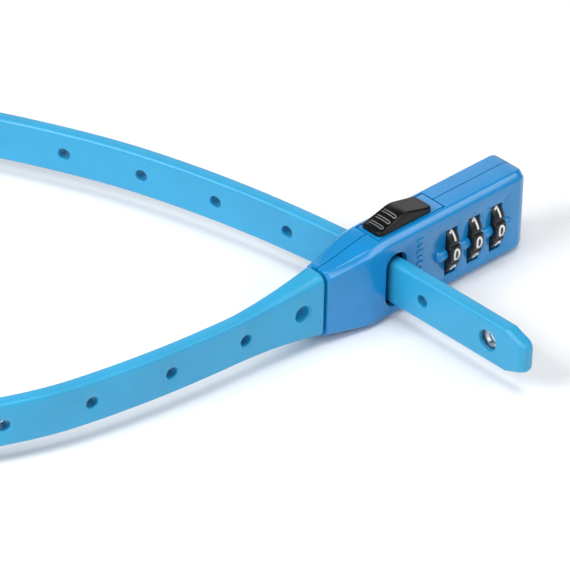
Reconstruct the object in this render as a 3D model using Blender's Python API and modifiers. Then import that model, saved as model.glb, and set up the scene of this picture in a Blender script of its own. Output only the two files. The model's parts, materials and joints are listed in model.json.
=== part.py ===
"""Strap lock with a three-wheel combination head, modelled for Blender 4.5.

A steel-cored plastic strap is fixed in the neck of the head, loops round and passes back through the head's
slot. A latch bolt drops into one of the strap's holes. The thumb slider pulls the bolt and the finned
spindle towards the wheels against a spring, which the code sleeves inside the wheels allow only when their
gates stand above the fins.

Frame: +X along the head towards the wheels, -Y out of the face with the windows, +Z up, and the origin on
the head's flat base under the middle of its length. Lengths are in millimetres and are scaled to metres as
meshes are made.
"""

import math

import bmesh
import bpy
import numpy as np
from mathutils import Matrix, Vector

MM = 0.001
OBJECT_NAME = "combination_strap_lock"

# Head casing
SEAM_X = -27.3
END_X = 27.8
HEAD_HEIGHT = 19.1
HEAD_THICKNESS = 10.2
HEAD_CHAMFER = 1.3
END_RADIUS = 3.4
END_FRONT_RADIUS = 3.8
END_BACK_RADIUS = 2.0
SPLIT_Y = 0.2
SPLIT_GAP = 0.2
FACE_Y = HEAD_THICKNESS / 2
FAR = 60.0

# Neck, where the casing narrows to the strap: its end's reach to the front and back, its bottom and top
NECK_FULL_X = -17.0
NECK_TOP_FULL_X = -12.5
NECK_STEPS = 8
NECK_FRONT = 3.2
NECK_BACK = 3.3
NECK_BOTTOM_Z = 1.6
NECK_TOP_Z = 17.0

# Number wheels, their sleeves and the spindle
AXIS_Z = 9.05
WHEEL_PITCH = 6.4
WHEEL_XS = tuple(5.1 + WHEEL_PITCH * number for number in range(3))
WHEEL_RADIUS = 6.9
WHEEL_WIDTH = 2.9
WHEEL_BORE = 3.75
WHEEL_EDGE = 0.3
DIGITS = 10
NOTCH_DEPTH = 0.5
TILE_HALF_ANGLE = math.radians(14.5)
POCKET_RADIUS = 7.15
POCKET_WIDTH = 3.3
WINDOW_WIDTH = 3.16
WINDOW_HEIGHT = 10.8
SLEEVE_HALF_LENGTH = 2.7
SLEEVE_RADIUS = 2.6
SLEEVE_BORE = 2.25
SLEEVE_FLANGE = 3.6
WEB_BORE = 1.3
WEB_START = 0.3
WEB_END = 1.1
GATE_WIDTH = 1.6
KEY_WIDTH = 1.0
KEY_TOP = 4.2
SPINDLE_RADIUS = 1.1
SPINDLE_START_X = -4.2
SPINDLE_END_X = 23.0
FIN_START = -0.9
FIN_END = 0.1
FIN_TOP = 2.05
FIN_WIDTH = 1.1

# Release slider, latch bolt and return spring
STROKE = 2.5
SLIDER_START_X = -13.1
SLIDER_END_X = 1.8
SLIDER_HALF_WIDTH = 2.9
SLIDER_CORNER = 1.2
SLIDER_HEIGHTS = (
    (0.0, 0.9),
    (1.6, 1.25),
    (3.4, 1.8),
    (5.4, 2.4),
    (6.8, 2.75),
    (8.0, 2.75),
    (10.4, 2.1),
    (14.9, 0.9),
)
TRACK_START_X = -13.6
TRACK_END_X = 4.5
TRACK_HALF_WIDTH = 3.05
TRACK_BOTTOM_Z = 17.7
TRACK_GAP = 0.2
LINK_START_X = -4.5
LINK_END_X = -1.7
BOLT_START_X = -6.4
BOLT_END_X = -1.4
PIN_RADIUS = 0.6
PIN_Y = 3.75
PIN_TIP_X = -11.3
SPRING_START_X = 21.85
SPRING_END_X = 25.5
SPRING_RADIUS = 1.65
SPRING_WIRE = 0.175
SPRING_TURNS = 3.5
SPRING_SIDES_PER_TURN = 12
CHAMBER_END_X = 25.7

# Slot in the head that the strap's tail passes through
SLOT_X = -10.15
SLOT_Z = 9.15
SLOT_WIDTH = 5.4
SLOT_HEIGHT = 12.2
GUIDE_WALL = 0.6

# Strap
STRAP_WIDTH = 10.0
STRAP_THICKNESS = 3.3
STRAP_EDGE = 0.95
STRAP_Z = AXIS_Z
FLARE_LENGTH = 24.0
FLARE_REACH = 21.5
FLARE_FRONT = 3.0
FLARE_BACK = 2.85
FLARE_BOTTOM_Z = 2.2
FLARE_TOP_Z = 16.9
SPIGOT_END_X = -20.0
SPIGOT_WIDTH = 10.8
CORE_WIDTH = 7.0
CORE_THICKNESS = 0.8
CORE_GAP = 0.15
CORE_START_X = -17.2
CORE_TIP_MARGIN = 4.0
HOLE_PITCH = 18.0
HOLE_RADIUS = 1.25
CORE_HOLE_RADIUS = 1.4
FIRST_HOLE = 20.3
TIP_HOLE_RADIUS = 2.2
TIP_HOLE_MARGIN = 9.8
MOULD_HOLE = 5.1
MOULD_HOLE_Z = 9.75
MOULD_HOLE_RADIUS = 1.75
TIP_TAPER = 5.0
TIP_DROP = 2.0
ANCHOR_XS = (-23.6, -18.8)
ANCHOR_RADIUS = 0.9
ANCHOR_HALF_LENGTHS = (2.55, 3.2)

# The strap's middle line seen from above, from the seam round the loop to the tip
STRAP_ROUTE = (
    (-27.9, 0.0),
    (-33.0, 0.2),
    (-47.2, 1.0),
    (-64.9, 2.6),
    (-82.3, 5.5),
    (-99.1, 10.8),
    (-125.2, 25.5),
    (-143.8, 48.0),
    (-151.3, 77.0),
    (-143.8, 105.0),
    (-122.2, 125.5),
    (-92.5, 131.0),
    (-65.0, 121.5),
    (-43.5, 101.5),
    (-28.8, 74.9),
    (-21.9, 57.7),
    (-16.9, 40.1),
    (-13.3, 22.1),
    (-10.9, 4.1),
    (-10.1, -13.8),
    (-9.85, -41.6),
)


def clear_scene():
    for obj in list(bpy.data.objects):
        bpy.data.objects.remove(obj, do_unlink=True)


def make_collection(name, parent):
    collection = bpy.data.collections.new(name)
    parent.children.link(collection)
    return collection


def make_material(name, colour, roughness, metallic=0.0):
    material = bpy.data.materials.new(name)
    material.use_nodes = True
    shader = material.node_tree.nodes["Principled BSDF"]
    shader.inputs["Base Color"].default_value = (*colour, 1.0)
    shader.inputs["Roughness"].default_value = roughness
    shader.inputs["Metallic"].default_value = metallic
    return material


def smoothstep(value):
    t = min(max(value, 0.0), 1.0)
    return t * t * (3 - 2 * t)


# Shapes, all drawn in millimetres in the object's frame


def add_box(bm, low, high):
    low, high = Vector(low), Vector(high)
    matrix = Matrix.Translation((low + high) / 2) @ Matrix.Diagonal((*(high - low), 1.0))
    bmesh.ops.create_cube(bm, size=1.0, matrix=matrix)


def add_cylinder(bm, start, end, radius, sides=24, end_radius=None):
    """A cylinder or a cone from start to end, with both ends capped."""
    start, end = Vector(start), Vector(end)
    turn = (end - start).to_track_quat("Z", "Y").to_matrix().to_4x4()
    bmesh.ops.create_cone(
        bm,
        cap_ends=True,
        segments=sides,
        radius1=radius,
        radius2=radius if end_radius is None else end_radius,
        depth=(end - start).length,
        matrix=Matrix.Translation((start + end) / 2) @ turn,
    )


def add_loft(bm, rings):
    """A closed solid through rings that all have the same number of points."""
    loops = [[bm.verts.new(point) for point in ring] for ring in rings]
    for first, second in zip(loops, loops[1:]):
        for index in range(len(first)):
            following = (index + 1) % len(first)
            bm.faces.new((first[index], first[following], second[following], second[index]))
    bm.faces.new(reversed(loops[0]))
    bm.faces.new(loops[-1])
    bmesh.ops.recalc_face_normals(bm, faces=bm.faces)


def rounded_rectangle(half_a, half_b, radius, corner_steps):
    """Points (a, b) round a rectangle, with each corner an arc of corner_steps + 1 points."""
    points = []
    for quarter, (sign_a, sign_b) in enumerate(((1, 1), (-1, 1), (-1, -1), (1, -1))):
        for step in range(corner_steps + 1):
            angle = math.pi / 2 * (quarter + step / corner_steps)
            a = sign_a * (half_a - radius) + radius * math.cos(angle)
            b = sign_b * (half_b - radius) + radius * math.sin(angle)
            points.append((a, b))
    return points


def add_obround(bm, y_low, y_high, width, height):
    """A prism along Y whose outline is as high as it is asked to be, with half-round ends."""
    outline = rounded_rectangle(width / 2, height / 2, width / 2 - 0.1, 6)
    rings = [[(SLOT_X + a, y, SLOT_Z + b) for a, b in outline] for y in (y_low, y_high)]
    add_loft(bm, rings)


class Builder:
    """Makes the parts and their cutters, and keeps them in their collections."""

    def __init__(self):
        clear_scene()
        root = bpy.context.scene.collection
        self.parts = make_collection(OBJECT_NAME, root)
        self.cutters = make_collection("cutters", root)
        self.cutters.hide_render = True
        self.materials = {
            "casing": make_material("casing_plastic", (0.05, 0.25, 0.58), 0.25),
            "strap": make_material("strap_plastic", (0.09, 0.43, 0.75), 0.35),
            "black": make_material("black_plastic", (0.02, 0.02, 0.022), 0.4),
            "steel": make_material("steel", (0.6, 0.6, 0.62), 0.3, 1.0),
            "zinc": make_material("zinc_casting", (0.5, 0.51, 0.53), 0.45, 1.0),
            "spring": make_material("spring_steel", (0.42, 0.42, 0.44), 0.35, 1.0),
        }

    def mesh_object(self, name, bm, collection, origin):
        bmesh.ops.translate(bm, verts=bm.verts, vec=-Vector(origin))
        bmesh.ops.scale(bm, verts=bm.verts, vec=(MM, MM, MM))
        mesh = bpy.data.meshes.new(name)
        bm.to_mesh(mesh)
        bm.free()
        obj = bpy.data.objects.new(name, mesh)
        obj.location = Vector(origin) * MM
        collection.objects.link(obj)
        return obj

    def part(self, name, bm, material, origin=(0, 0, 0)):
        obj = self.mesh_object(name, bm, self.parts, origin)
        obj.data.materials.append(self.materials[material])
        obj.data.shade_smooth()
        obj.data.set_sharp_from_angle(angle=math.radians(35))
        return obj

    def cutter(self, name, *draw_calls):
        """A collection of cutters, one object for each function that draws one."""
        group = make_collection(name, self.cutters)
        for number, draw in enumerate(draw_calls):
            bm = bmesh.new()
            draw(bm)
            obj = self.mesh_object(f"{name}_{number}", bm, group, (0, 0, 0))
            obj.hide_render = True
            obj.display_type = "WIRE"
        return group

    def combine(self, obj, group, operation="DIFFERENCE"):
        modifier = obj.modifiers.new(group.name, "BOOLEAN")
        modifier.operation = operation
        modifier.operand_type = "COLLECTION"
        modifier.collection = group
        modifier.solver = "EXACT"


def draw_box(low, high):
    return lambda bm: add_box(bm, low, high)


def draw_cylinder(start, end, radius, sides=24):
    return lambda bm: add_cylinder(bm, start, end, radius, sides)


def along_x(start_x, end_x, radius, sides=24):
    """A cylinder on the wheels' axis."""
    return draw_cylinder((start_x, 0, AXIS_Z), (end_x, 0, AXIS_Z), radius, sides)


# Head casing


def rounding(x, radius):
    """How far a side comes in at x when it meets the head's far end through an arc."""
    into_end = max(x - (END_X - radius), 0.0)
    return radius - math.sqrt(max(radius**2 - into_end**2, 0.0))


def head_section(x):
    """The casing's eight corners at x: straight neck sides, a top that swells, and a rounded far end."""
    t = min((x - SEAM_X) / (NECK_FULL_X - SEAM_X), 1.0)
    front = NECK_FRONT + t * (FACE_Y - NECK_FRONT)
    back = NECK_BACK + t * (FACE_Y - NECK_BACK)
    bottom = NECK_BOTTOM_Z * (1 - t)
    swell = smoothstep((x - SEAM_X) / (NECK_TOP_FULL_X - SEAM_X))
    top = NECK_TOP_Z + swell * (HEAD_HEIGHT - NECK_TOP_Z)
    front -= rounding(x, END_FRONT_RADIUS)
    back -= rounding(x, END_BACK_RADIUS)
    bottom += rounding(x, END_RADIUS)
    top -= rounding(x, END_RADIUS)
    c = HEAD_CHAMFER
    corners = [(back - c, top), (back, top - c), (back, bottom + c), (back - c, bottom)]
    corners += [(c - front, bottom), (-front, bottom + c), (-front, top - c), (c - front, top)]
    return [(x, y, z) for y, z in corners]


def head_stations():
    neck = [SEAM_X + (NECK_TOP_FULL_X - SEAM_X) * step / NECK_STEPS for step in range(NECK_STEPS + 1)]
    turns = [math.radians(angle) for angle in (0, 15, 28.3, 39, 50, 61, 71, 80, 87)]
    ends = [END_X - END_FRONT_RADIUS + END_FRONT_RADIUS * math.sin(turn) for turn in turns]
    return sorted(neck + [NECK_FULL_X] + ends)


def draw_head(bm):
    add_loft(bm, [head_section(x) for x in head_stations()])


def draw_index_bar(bm):
    """The half-round bar beside the windows, whose line the chosen digits stand on."""
    y, radius = -FACE_Y + 0.3, 1.3
    add_cylinder(bm, (0.6, y, AXIS_Z), (22.0, y, AXIS_Z), radius, 16)


def cavity_calls():
    """Everything that is cut from the solid head, as functions that each draw one cutter."""
    calls = [
        lambda bm: add_obround(bm, -FACE_Y - 1, FACE_Y + 1, SLOT_WIDTH, SLOT_HEIGHT),
        draw_box((-13.75, -3.8, 2.1), (-6.5, 3.8, 16.2)),
        draw_box((-6.7, -3.0, 5.6), (1.4, 4.55, 13.4)),
        draw_box((-8.2, 2.0, AXIS_Z - 0.9), (-6.4, 4.55, AXIS_Z + 0.9)),
        draw_box((-5.4, -2.7, 13.0), (1.5, 2.7, 18.0)),
        draw_box(
            (TRACK_START_X - TRACK_GAP, -TRACK_HALF_WIDTH - TRACK_GAP, TRACK_BOTTOM_Z - TRACK_GAP),
            (TRACK_END_X + TRACK_GAP, TRACK_HALF_WIDTH + TRACK_GAP, HEAD_HEIGHT + 1),
        ),
        draw_box((SEAM_X - 2, -1.85, AXIS_Z - 5.6), (-16.6, 1.85, AXIS_Z + 5.6)),
        along_x(1.0, 20.9, SLEEVE_RADIUS + 0.15, 20),
        along_x(20.5, CHAMBER_END_X, 2.35, 20),
    ]
    for x, half_length in zip(ANCHOR_XS, ANCHOR_HALF_LENGTHS):
        reach = half_length + 0.1
        calls.append(draw_cylinder((x, -reach, AXIS_Z), (x, reach, AXIS_Z), ANCHOR_RADIUS + 0.1, 12))
    for x in WHEEL_XS:
        calls.append(along_x(x - POCKET_WIDTH / 2, x + POCKET_WIDTH / 2, POCKET_RADIUS, 40))
        half = WINDOW_WIDTH / 2, WINDOW_HEIGHT / 2
        low, high = (x - half[0], -FACE_Y - 2, AXIS_Z - half[1]), (x + half[0], FACE_Y + 2, AXIS_Z + half[1])
        calls.append(draw_box(low, high))
        calls.append(draw_box((x - 1.45, -3.5, 1.15), (x + 1.45, 3.5, 3.2)))
    return calls


def make_shells(builder):
    cavities = builder.cutter("head_cavities", *cavity_calls())
    sides = {"front_shell": SPLIT_Y - SPLIT_GAP / 2, "back_shell": SPLIT_Y + SPLIT_GAP / 2}
    for name, split in sides.items():
        bm = bmesh.new()
        draw_head(bm)
        shell = builder.part(name, bm, "casing")
        low, high = (split, FAR) if name == "front_shell" else (-FAR, split)
        builder.combine(shell, builder.cutter(f"{name}_half", draw_box((-FAR, low, -FAR), (FAR, high, FAR))))
        if name == "front_shell":
            builder.combine(shell, builder.cutter("index_bar", draw_index_bar), "UNION")
        builder.combine(shell, cavities)


def make_strap_guide(builder):
    """A sleeve that lines the slot between the shells, open beside the latch pin."""
    bm = bmesh.new()
    add_obround(bm, -3.6, 2.7, SLOT_WIDTH + 0.2 + 2 * GUIDE_WALL, SLOT_HEIGHT + 0.2 + 2 * GUIDE_WALL)
    guide = builder.part("strap_guide", bm, "black")
    builder.combine(
        guide,
        builder.cutter("guide_bore", lambda bm: add_obround(bm, -6, 6, SLOT_WIDTH + 0.2, SLOT_HEIGHT + 0.2)),
    )


def make_track_plate(builder):
    bm = bmesh.new()
    low = (TRACK_START_X, -TRACK_HALF_WIDTH, TRACK_BOTTOM_Z)
    add_box(bm, low, (TRACK_END_X, TRACK_HALF_WIDTH, HEAD_HEIGHT))
    plate = builder.part("slider_track", bm, "casing")
    slot = draw_box((LINK_START_X - 0.3, -1.3, 16), (LINK_END_X + STROKE + 0.3, 1.3, 22))
    builder.combine(plate, builder.cutter("track_slot", slot))


# Release group: slider, link, bolt, spindle and clip


def make_slider(builder):
    base = HEAD_HEIGHT + 0.15
    side = [(SLIDER_START_X, base)]
    side += [(SLIDER_START_X + x, HEAD_HEIGHT + height) for x, height in SLIDER_HEIGHTS]
    side.append((SLIDER_START_X + SLIDER_HEIGHTS[-1][0], base))
    bm = bmesh.new()
    add_loft(bm, [[(x, y, z) for x, z in side] for y in (-SLIDER_HALF_WIDTH, SLIDER_HALF_WIDTH)])
    slider = builder.part("release_slider", bm, "black")
    middle = (SLIDER_START_X + SLIDER_END_X) / 2
    half_length = (SLIDER_END_X - SLIDER_START_X) / 2

    def draw_plan(bm):
        """The slider's outline from above, which draws in towards the crest."""
        rings = []
        for height, inset in ((-1.0, 0.0), (0.8, 0.0), (4.0, 0.8)):
            plan = rounded_rectangle(half_length - inset, SLIDER_HALF_WIDTH - inset, SLIDER_CORNER, 4)
            rings.append([(middle + a, b, HEAD_HEIGHT + height) for a, b in plan])
        add_loft(bm, rings)

    builder.combine(slider, builder.cutter("slider_plan", draw_plan), "INTERSECT")
    socket = draw_box((LINK_START_X - 0.15, -1.15, 18), (LINK_END_X + 0.15, 1.15, HEAD_HEIGHT + 1.2))
    builder.combine(slider, builder.cutter("slider_socket", socket))


def make_link(builder):
    """Joins the slider to the bolt, with a flange that stays below the track."""
    bm = bmesh.new()
    add_box(bm, (LINK_START_X, -1.0, 12.1), (LINK_END_X, 1.0, HEAD_HEIGHT + 1.05))
    link = builder.part("slider_link", bm, "zinc")
    flange = draw_box((LINK_START_X - 0.4, -2.4, 16.3), (LINK_END_X + 0.4, 2.4, 17.5))
    builder.combine(link, builder.cutter("link_flange", flange), "UNION")


def make_bolt(builder):
    bm = bmesh.new()
    add_box(bm, (BOLT_START_X, -2.6, 6.0), (BOLT_END_X, PIN_Y + PIN_RADIUS, 13.0))
    bolt = builder.part("latch_bolt", bm, "steel")

    def draw_pin(bm):
        start, end = BOLT_START_X - 4.2, BOLT_START_X + 0.5
        add_cylinder(bm, (start, PIN_Y, AXIS_Z), (end, PIN_Y, AXIS_Z), PIN_RADIUS, 12)

    def draw_tip(bm):
        start, end = (BOLT_START_X - 4.1, PIN_Y, AXIS_Z), (PIN_TIP_X, PIN_Y, AXIS_Z)
        add_cylinder(bm, start, end, PIN_RADIUS - 0.02, 12, PIN_RADIUS * 0.5)

    builder.combine(bolt, builder.cutter("latch_pin", draw_pin, draw_tip), "UNION")
    notch = draw_box((LINK_START_X - 0.15, -1.15, 11.9), (LINK_END_X + 0.15, 1.15, 14))
    bore = along_x(SPINDLE_START_X - 0.15, 0, SPINDLE_RADIUS + 0.1, 16)
    builder.combine(bolt, builder.cutter("bolt_sockets", notch, bore))


def make_spindle(builder):
    bm = bmesh.new()
    add_cylinder(bm, (SPINDLE_START_X, 0, AXIS_Z), (SPINDLE_END_X, 0, AXIS_Z), SPINDLE_RADIUS, 16)
    spindle = builder.part("locking_spindle", bm, "steel")
    fins = []
    for x in WHEEL_XS:
        low = (x + FIN_START, -FIN_WIDTH / 2, AXIS_Z)
        fins.append(draw_box(low, (x + FIN_END, FIN_WIDTH / 2, AXIS_Z + FIN_TOP)))
    builder.combine(spindle, builder.cutter("spindle_fins", *fins), "UNION")


def make_clip(builder):
    bm = bmesh.new()
    add_cylinder(bm, (21.0, 0, AXIS_Z), (21.6, 0, AXIS_Z), 2.1, 16)
    clip = builder.part("spindle_clip", bm, "spring")
    builder.combine(clip, builder.cutter("clip_bore", along_x(20, 23, SPINDLE_RADIUS + 0.08, 16)))


def make_return_spring(builder):
    """A compression spring between the clip and the end of its chamber."""
    count = int(SPRING_TURNS * SPRING_SIDES_PER_TURN)
    curve = bpy.data.curves.new("return_spring_wire", "CURVE")
    curve.dimensions = "3D"
    curve.bevel_depth = SPRING_WIRE * MM
    curve.bevel_resolution = 1
    curve.use_fill_caps = True
    spline = curve.splines.new("POLY")
    spline.points.add(count)
    start, end = SPRING_START_X + SPRING_WIRE, SPRING_END_X - SPRING_WIRE
    for index, point in enumerate(spline.points):
        angle = 2 * math.pi * index / SPRING_SIDES_PER_TURN
        x = start + (end - start) * index / count
        y, z = SPRING_RADIUS * math.cos(angle), AXIS_Z + SPRING_RADIUS * math.sin(angle)
        point.co = (x * MM, y * MM, z * MM, 1.0)
    spring = bpy.data.objects.new("return_spring", curve)
    curve.materials.append(builder.materials["spring"])
    builder.parts.objects.link(spring)


# Wheels, sleeves and detents


def wheel_outline(radius):
    """Ten slightly domed tiles round the axis, with a notch between each two. A tile's middle faces -Y."""
    tile = ((-TILE_HALF_ANGLE, 0.12), (0.0, 0.0), (TILE_HALF_ANGLE, 0.12), (math.pi / DIGITS, NOTCH_DEPTH))
    points = []
    for digit in range(DIGITS):
        middle = math.pi + 2 * math.pi * digit / DIGITS
        for turn, inset in tile:
            reach = radius - inset
            points.append((reach * math.cos(middle + turn), reach * math.sin(middle + turn)))
    return points


def make_wheel(builder, number, x):
    half = WHEEL_WIDTH / 2
    sides = ((-half, WHEEL_EDGE), (WHEEL_EDGE - half, 0.0), (half - WHEEL_EDGE, 0.0), (half, WHEEL_EDGE))
    rings = []
    for dx, inset in sides:
        rings.append([(x + dx, y, AXIS_Z + z) for y, z in wheel_outline(WHEEL_RADIUS - inset)])
    bm = bmesh.new()
    add_loft(bm, rings)
    wheel = builder.part(f"number_wheel_{number}", bm, "black", origin=(x, 0, AXIS_Z))
    bore = along_x(x - 3, x + 3, WHEEL_BORE, 20)
    low, high = (x - 3, -KEY_WIDTH / 2 - 0.15, AXIS_Z), (x + 3, KEY_WIDTH / 2 + 0.15, AXIS_Z + KEY_TOP + 0.15)
    builder.combine(wheel, builder.cutter(f"wheel_bore_{number}", bore, draw_box(low, high)))


def make_sleeve(builder, number, x):
    """A journal at each end, a keyed flange inside the wheel, and a web with one gate for the spindle's fin."""
    flange = WHEEL_WIDTH / 2 - 0.15
    bm = bmesh.new()
    start, end = x - SLEEVE_HALF_LENGTH, x + SLEEVE_HALF_LENGTH
    add_cylinder(bm, (start, 0, AXIS_Z), (end, 0, AXIS_Z), SLEEVE_RADIUS, 20)
    sleeve = builder.part(f"code_sleeve_{number}", bm, "zinc", origin=(x, 0, AXIS_Z))
    key = draw_box((x - flange, -KEY_WIDTH / 2, AXIS_Z + 2), (x + flange, KEY_WIDTH / 2, AXIS_Z + KEY_TOP))
    ring = along_x(x - flange, x + flange, SLEEVE_FLANGE, 20)
    builder.combine(sleeve, builder.cutter(f"sleeve_flange_{number}", ring, key), "UNION")
    gate = draw_box((x - 2, -GATE_WIDTH / 2, AXIS_Z), (x + 2, GATE_WIDTH / 2, AXIS_Z + SLEEVE_BORE - 0.05))
    bores = (
        along_x(x - 4, x + WEB_START, SLEEVE_BORE, 20),
        along_x(x + WEB_END, x + 4, SLEEVE_BORE, 20),
        along_x(x - 4, x + 4, WEB_BORE, 20),
        gate,
    )
    builder.combine(sleeve, builder.cutter(f"sleeve_bores_{number}", *bores))


def make_detent(builder, number, x):
    """A leaf spring under the wheel whose bend rests in the lowest notch."""
    side = [(-3.2, 1.35), (-1.5, 1.45), (-0.5, 2.1), (0.0, 2.35), (0.5, 2.1), (1.5, 1.45), (3.2, 1.35)]
    bm = bmesh.new()
    rows = [[bm.verts.new((x + dx, y, z)) for y, z in side] for dx in (-1.1, 1.1)]
    for index in range(len(side) - 1):
        bm.faces.new((rows[0][index], rows[1][index], rows[1][index + 1], rows[0][index + 1]))
    leaf = builder.part(f"detent_spring_{number}", bm, "spring")
    modifier = leaf.modifiers.new("thickness", "SOLIDIFY")
    modifier.thickness = 0.2 * MM
    modifier.offset = 0.0


# Strap


def spline_through(points):
    """A function of a knot's number that follows a natural cubic spline through the points."""
    values = np.array(points, float)
    count = len(values)
    system = np.eye(count)
    bend = np.zeros_like(values)
    for row in range(1, count - 1):
        system[row, row - 1 : row + 2] = (1, 4, 1)
        bend[row] = 6 * (values[row - 1] - 2 * values[row] + values[row + 1])
    second = np.linalg.solve(system, bend)

    def at(knot):
        low = min(int(knot), count - 2)
        t = knot - low
        a, b = values[low], values[low + 1]
        curve = ((1 - t) ** 3 - (1 - t)) * second[low] + (t**3 - t) * second[low + 1]
        return a * (1 - t) + b * t + curve / 6

    return at


class StrapCourse:
    """The strap's middle line, measured by length from the seam."""

    FINENESS = 40

    def __init__(self):
        at = spline_through(STRAP_ROUTE)
        count = (len(STRAP_ROUTE) - 1) * self.FINENESS
        self.points = np.array([at(index / self.FINENESS) for index in range(count + 1)])
        steps = np.linalg.norm(np.diff(self.points, axis=0), axis=1)
        self.lengths = np.concatenate([[0.0], np.cumsum(steps)])
        self.total = self.lengths[-1]

    def place(self, length):
        """(point, direction) at a length, and straight on before the seam."""
        if length < 0:
            start, direction = self.place(0.0)
            return start + direction * length, direction
        point = np.array([np.interp(length, self.lengths, self.points[:, axis]) for axis in (0, 1)])
        before, after = (min(max(length + step, 0.0), self.total) for step in (-0.5, 0.5))
        ends = []
        for at in (before, after):
            ends.append([np.interp(at, self.lengths, self.points[:, axis]) for axis in (0, 1)])
        direction = np.subtract(ends[1], ends[0])
        return point, direction / np.linalg.norm(direction)

    def stations(self):
        """Lengths to put a section at: close together in the flare and at the tip, wider along the loop."""
        flare = list(np.linspace(0, FLARE_LENGTH, 9))
        loop_end = self.total - TIP_TAPER - 1
        loop = list(np.linspace(FLARE_LENGTH, loop_end, 48))[1:]
        return flare + loop + [self.total - TIP_TAPER, self.total - 1.2, self.total]

    def ring(self, length, outline):
        """An outline's (across, up) points square to the strap at a length. Across is to the loop's inside."""
        point, direction = self.place(length)
        across = np.array([direction[1], -direction[0]])
        return [(*(point + across * a), STRAP_Z + b) for a, b in outline]


def flare_at(length, power):
    """0 on the plain strap and 1 at the seam."""
    return max(1 - length / FLARE_REACH, 0.0) ** power


def strap_outline(course, length):
    """The jacket's outline. It grows to the neck's size at the seam, and the tip is bevelled."""
    upper, lower = flare_at(length, 1.5), flare_at(length, 2.0)
    half_width, half_thickness = STRAP_WIDTH / 2, STRAP_THICKNESS / 2
    half_width -= TIP_DROP * max(length - (course.total - TIP_TAPER), 0.0) / TIP_TAPER
    if length > course.total - 1:
        half_thickness -= 0.5
    front = half_thickness + lower * (FLARE_FRONT - half_thickness)
    back = half_thickness + upper * (FLARE_BACK - half_thickness)
    up = half_width + upper * (FLARE_TOP_Z - STRAP_Z - half_width)
    down = half_width + lower * (STRAP_Z - FLARE_BOTTOM_Z - half_width)
    edge = min(STRAP_EDGE + 0.8 * upper, half_thickness - 0.1 + upper)
    outline = rounded_rectangle((front + back) / 2, (up + down) / 2, edge, 2)
    return [(a + (back - front) / 2, b + (up - down) / 2) for a, b in outline]


def spigot_rings(course):
    outline = rounded_rectangle(STRAP_THICKNESS / 2, SPIGOT_WIDTH / 2, STRAP_EDGE, 2)
    return [course.ring(length, outline) for length in (course_start(SPIGOT_END_X), 0.6)]


def course_start(x):
    """The strap's length, below zero, at a place before the seam."""
    return STRAP_ROUTE[0][0] - x


def hole_lengths(course):
    """Lengths of the small holes, from beside the flare to the last one before the tip."""
    last = course.total - TIP_HOLE_MARGIN
    count = int((last - FIRST_HOLE) / HOLE_PITCH + 0.5)
    return [last - HOLE_PITCH * number for number in range(count, 0, -1)]


def draw_hole(course, length, radius, sides=12, z=STRAP_Z):
    point, direction = course.place(length)
    across = np.array([direction[1], -direction[0]])
    start, end = point - across * 5, point + across * 5
    return draw_cylinder((*start, z), (*end, z), radius, sides)


def anchor_calls(radius):
    return [draw_cylinder((x, -5, AXIS_Z), (x, 5, AXIS_Z), radius, 12) for x in ANCHOR_XS]


def core_rings(course, gap):
    """The core's sections, grown by a gap for the slot in the jacket that holds it."""
    stations = course.stations()
    reach = CORE_TIP_MARGIN - gap
    inner = [length for length in stations if length < course.total - TIP_TAPER]
    start = course_start(SPIGOT_END_X + 1 if gap else CORE_START_X)
    lengths = [start] + inner + [course.total - reach]
    a, b = CORE_THICKNESS / 2 + gap, CORE_WIDTH / 2 + gap
    outline = [(a, b), (-a, b), (-a, -b), (a, -b)]
    return [course.ring(length, outline) for length in lengths]


def make_strap(builder):
    course = StrapCourse()
    bm = bmesh.new()
    add_loft(bm, [course.ring(length, strap_outline(course, length)) for length in course.stations()])
    jacket = builder.part("strap_jacket", bm, "strap")
    spigot = builder.cutter("strap_spigot", lambda bm: add_loft(bm, spigot_rings(course)))
    builder.combine(jacket, spigot, "UNION")
    holes = [draw_hole(course, length, HOLE_RADIUS) for length in hole_lengths(course)]
    holes.append(draw_hole(course, course.total - TIP_HOLE_MARGIN, TIP_HOLE_RADIUS, 16))
    holes.append(draw_hole(course, MOULD_HOLE, MOULD_HOLE_RADIUS, 16, MOULD_HOLE_Z))
    slot = builder.cutter("jacket_slot", lambda bm: add_loft(bm, core_rings(course, CORE_GAP)))
    builder.combine(jacket, slot)
    builder.combine(jacket, builder.cutter("jacket_holes", *holes, *anchor_calls(ANCHOR_RADIUS + 0.25)))

    bm = bmesh.new()
    add_loft(bm, core_rings(course, 0.0))
    core = builder.part("strap_core", bm, "steel")
    holes = [draw_hole(course, length, CORE_HOLE_RADIUS) for length in hole_lengths(course)]
    holes.append(draw_hole(course, course.total - TIP_HOLE_MARGIN, CORE_HOLE_RADIUS))
    holes.append(draw_hole(course, MOULD_HOLE, MOULD_HOLE_RADIUS + 0.1, 16, MOULD_HOLE_Z))
    builder.combine(core, builder.cutter("core_holes", *holes, *anchor_calls(ANCHOR_RADIUS + 0.15)))


def make_anchor_pins(builder):
    for number, (x, half) in enumerate(zip(ANCHOR_XS, ANCHOR_HALF_LENGTHS), 1):
        bm = bmesh.new()
        add_cylinder(bm, (x, -half, AXIS_Z), (x, half, AXIS_Z), ANCHOR_RADIUS, 12)
        builder.part(f"anchor_pin_{number}", bm, "steel")


def main():
    builder = Builder()
    make_shells(builder)
    make_strap_guide(builder)
    make_track_plate(builder)
    make_slider(builder)
    make_link(builder)
    make_bolt(builder)
    make_spindle(builder)
    make_clip(builder)
    make_return_spring(builder)
    for number, x in enumerate(WHEEL_XS, 1):
        make_wheel(builder, number, x)
        make_sleeve(builder, number, x)
        make_detent(builder, number, x)
    make_strap(builder)
    make_anchor_pins(builder)


main()
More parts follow.
